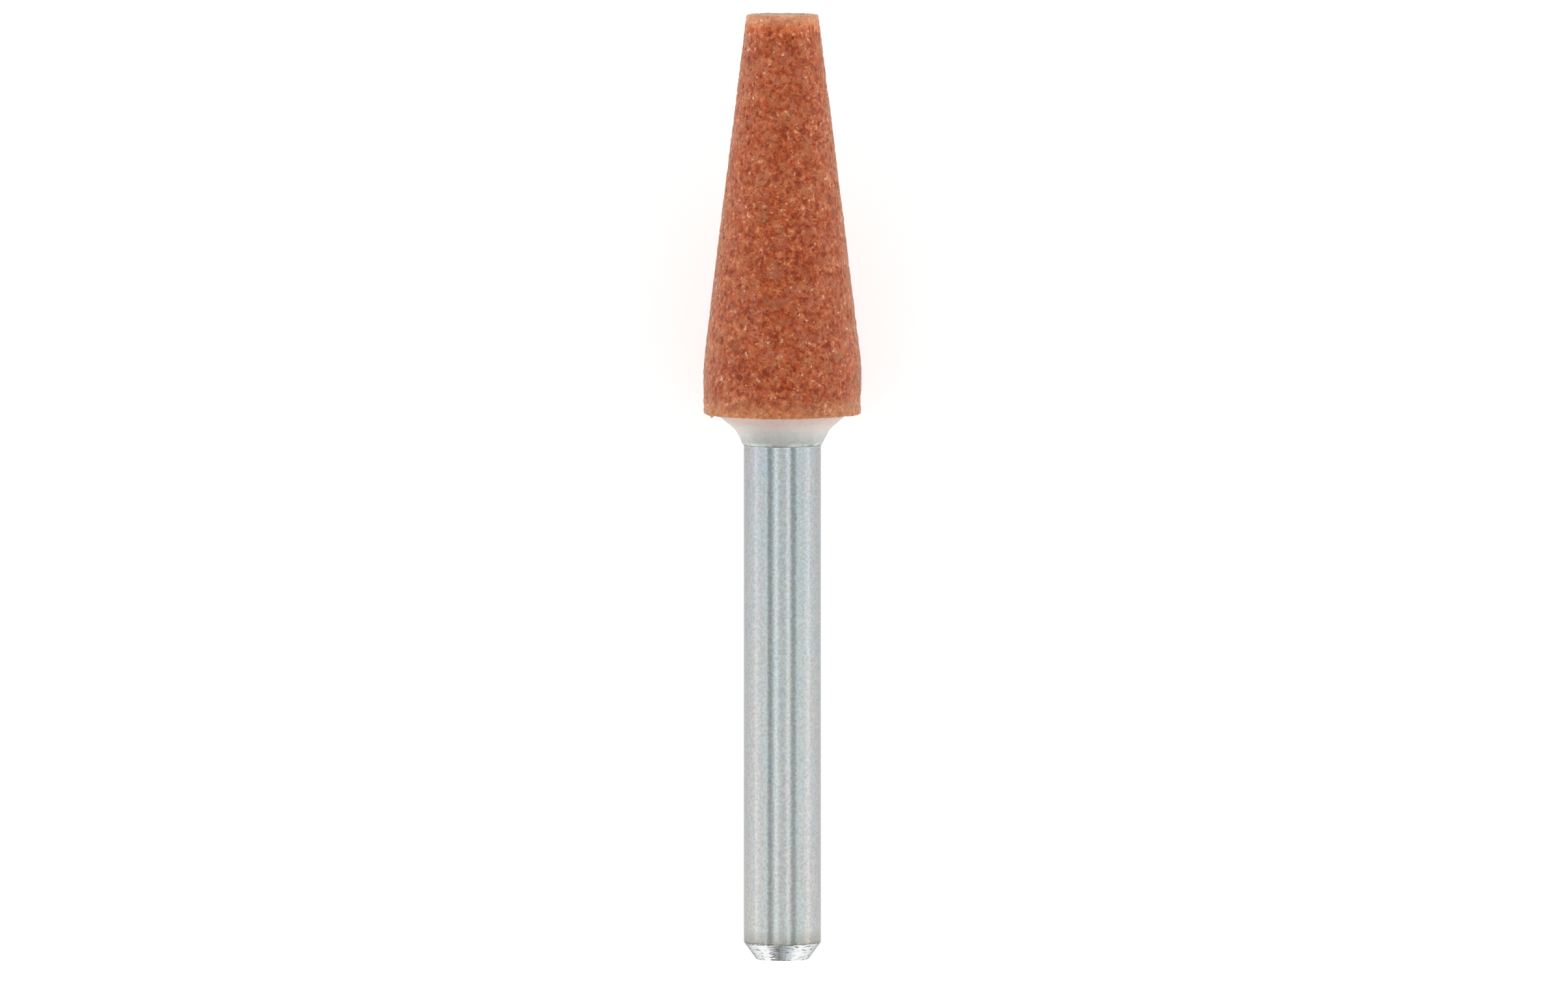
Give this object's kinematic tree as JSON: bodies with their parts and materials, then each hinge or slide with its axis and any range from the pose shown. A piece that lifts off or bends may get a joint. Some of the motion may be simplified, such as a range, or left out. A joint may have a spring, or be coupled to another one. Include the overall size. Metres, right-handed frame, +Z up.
{
  "type": "mounted point",
  "caption": "Tapered abrasive grinding stone cemented on a plain round steel shank, held in a rotary tool's collet.",
  "frame": {"origin": "bottom centre of the bounding box: the tool lies on the surface at z = 0, on its two widest rims", "axes": "+Y along the tool from the shank's end to the stone's tip, tipped up about 4.4 degrees; +X to the right; +Z up"},
  "size_m": [0.0066, 0.039, 0.0066],
  "materials": {
    "abrasive_stone": "coarse fired aluminium oxide grain, matt and porous",
    "cement": "set white cement, smooth, satin, slightly translucent",
    "shank": "ground and zinc plated steel, satin, with a bright turned end"
  },
  "bodies": {
    "root": {"abrasive_stone": "abrasive_stone", "cement": "cement", "shank": "shank"}
  },
  "joints": []
}
